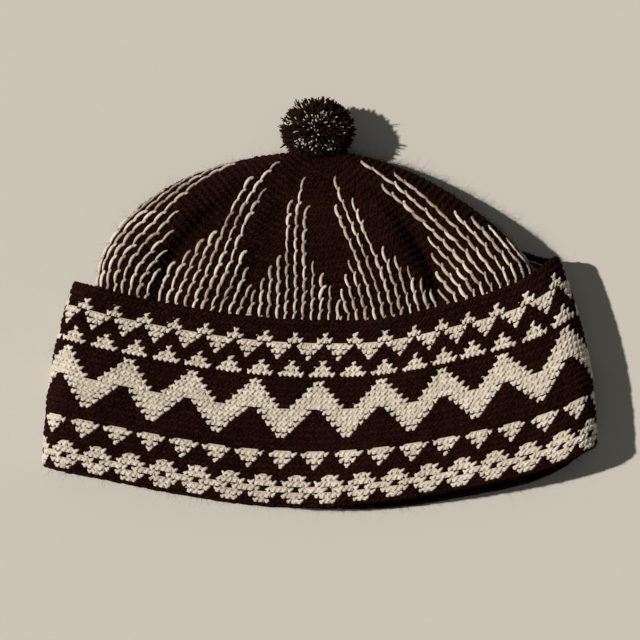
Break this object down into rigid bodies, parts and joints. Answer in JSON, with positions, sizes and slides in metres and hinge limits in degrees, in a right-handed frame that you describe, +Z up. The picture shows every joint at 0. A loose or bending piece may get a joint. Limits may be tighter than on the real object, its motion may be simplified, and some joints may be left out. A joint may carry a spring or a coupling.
{
  "type": "knitted beanie with turned-up cuff and pompom",
  "caption": "Two-colour knitted beanie lying on its back: domed crown with striped gores, deep turned-up patterned cuff and a pompom at the tip",
  "frame": {"origin": "on the surface that the hat lies on, under the middle of the whole hat", "axes": "+X across the flat hat, +Y from the open hem towards the pompom, +Z up through its thickness, out of the front"},
  "size_m": [0.2584, 0.1936, 0.0294],
  "materials": {
    "crown_knit": "soft matt wool, dark brown with fine cream stripes",
    "cuff_knit": "soft matt wool, dark brown and cream in a geometric pattern",
    "pompom_yarn": "cut ends of dark brown wool with a few cream ones"
  },
  "bodies": {
    "root": {"crown": "crown_knit", "cuff": "cuff_knit", "pompom": "pompom_yarn"}
  },
  "joints": []
}
